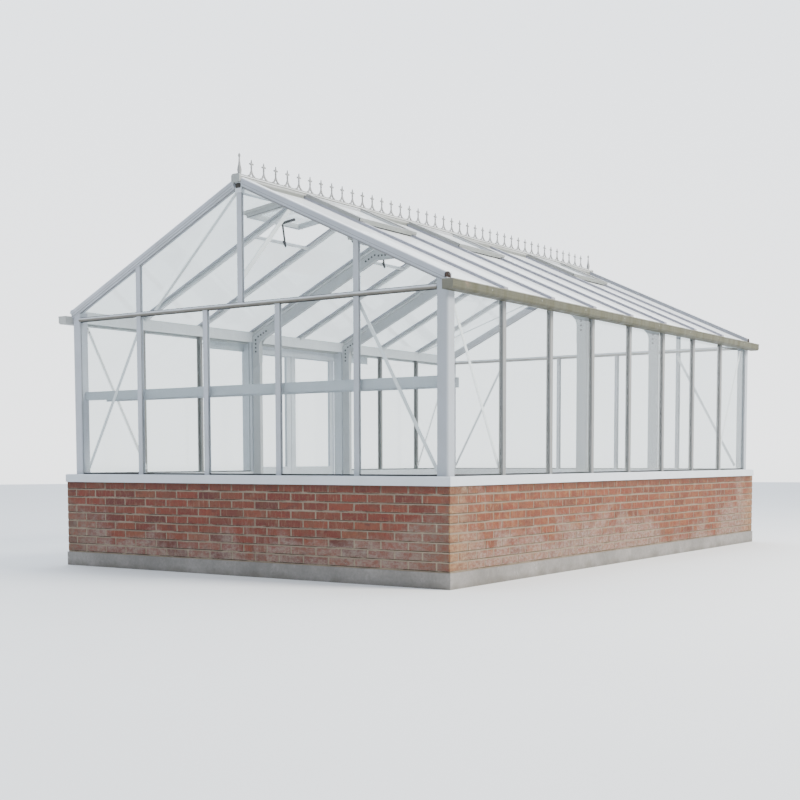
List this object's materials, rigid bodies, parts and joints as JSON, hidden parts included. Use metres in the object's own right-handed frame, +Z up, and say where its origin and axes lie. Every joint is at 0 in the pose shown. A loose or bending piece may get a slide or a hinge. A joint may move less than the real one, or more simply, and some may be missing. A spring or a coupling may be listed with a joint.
{
  "type": "glass greenhouse on a brick dwarf wall",
  "caption": "White-framed glass greenhouse on a low brick wall, with a gabled roof, ridge cresting, open roof vents and a sliding double door.",
  "frame": {"origin": "on the ground, under the middle of the ridge", "axes": "+X to the right across the gables, +Y along the ridge away from the shelf's gable, +Z up"},
  "size_m": [4.033, 6.186, 3.252],
  "materials": {
    "black_metal": "satin",
    "brick": "rough red brickwork with pale joints",
    "concrete": "rough",
    "glass": "clear",
    "gutter_aluminium": "satin powder coat with green-beige stains",
    "mill_aluminium": "mill",
    "white_aluminium": "satin powder coat"
  },
  "bodies": {
    "root": {"apex_gussets": "white_aluminium", "brick_wall_back": "brick", "brick_wall_front": "brick", "brick_wall_right": "brick", "brick_walls_left": "brick", "corner_posts": "white_aluminium", "door_guides": "mill_aluminium", "door_jambs": "white_aluminium", "door_threshold": "mill_aluminium", "door_track": "white_aluminium", "eave_beams": "white_aluminium", "gable_mullions": "white_aluminium", "gable_rafters": "white_aluminium", "gable_tie_rails": "white_aluminium", "glass_back": "glass", "glass_front": "glass", "glass_left": "glass", "glass_right": "glass", "glazing_bars": "white_aluminium", "gutters": "gutter_aluminium", "haunch_gussets": "white_aluminium", "plinth_gables": "concrete", "plinth_sides": "concrete", "portal_posts": "white_aluminium", "portal_rafters": "white_aluminium", "ridge_beam": "white_aluminium", "ridge_cap": "white_aluminium", "ridge_cresting": "white_aluminium", "roof_braces": "white_aluminium", "roof_glass_left": "glass", "roof_glass_right": "glass", "roof_vents": "white_aluminium", "shelf": "white_aluminium", "shelf_brackets": "white_aluminium", "side_mullions": "white_aluminium", "sills_gable": "white_aluminium", "sills_side": "white_aluminium", "vent_openers": "black_metal", "wall_braces": "white_aluminium"},
    "door_leaf_near": {"door_leaf_near": "white_aluminium", "door_glass_near": "glass", "door_fittings_near": "mill_aluminium"},
    "door_leaf_far": {"door_leaf_far": "white_aluminium", "door_glass_far": "glass", "door_fittings_far": "mill_aluminium"}
  },
  "joints": [
    {"name": "near_leaf_slide", "type": "slide", "parent": "root", "child": "door_leaf_near", "axis": [0, -1, 0], "range_m": [0, 0.6]},
    {"name": "far_leaf_slide", "type": "slide", "parent": "root", "child": "door_leaf_far", "axis": [0, 1, 0], "range_m": [0, 0.6]}
  ]
}
